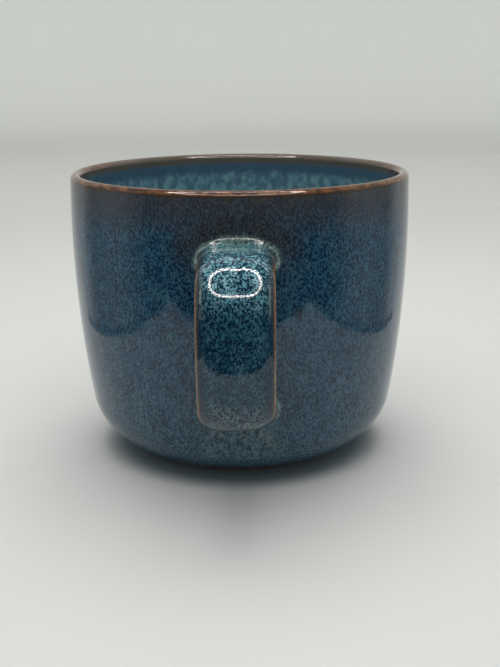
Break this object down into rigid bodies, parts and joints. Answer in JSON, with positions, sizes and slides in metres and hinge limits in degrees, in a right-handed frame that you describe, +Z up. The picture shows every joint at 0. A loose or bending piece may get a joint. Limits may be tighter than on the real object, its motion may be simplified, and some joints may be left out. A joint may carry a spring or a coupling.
{
  "type": "ceramic mug",
  "caption": "Round-bottomed stoneware mug with a wide strap handle, an unglazed foot ring and a running reactive glaze.",
  "frame": {"origin": "centre of the foot ring, on the plane that it rests on", "axes": "+Z up along the cup's axis; the handle points to -Y"},
  "size_m": [0.0954, 0.1219, 0.08],
  "materials": {
    "stoneware": "matte unglazed stoneware",
    "slip": "matte fired slip",
    "outer_glaze": "gloss mottled blue reactive glaze, copper brown at the lip",
    "liner_glaze": "gloss mottled teal reactive glaze, copper brown at the lip",
    "handle_glaze": "gloss mottled blue reactive glaze, brown along the strap's edges"
  },
  "bodies": {
    "root": {"cup_body": "stoneware", "handle": "stoneware", "upper_slip_joint": "slip", "lower_slip_joint": "slip", "outer_glaze": "outer_glaze", "liner_glaze": "liner_glaze", "handle_glaze": "handle_glaze"}
  },
  "joints": []
}
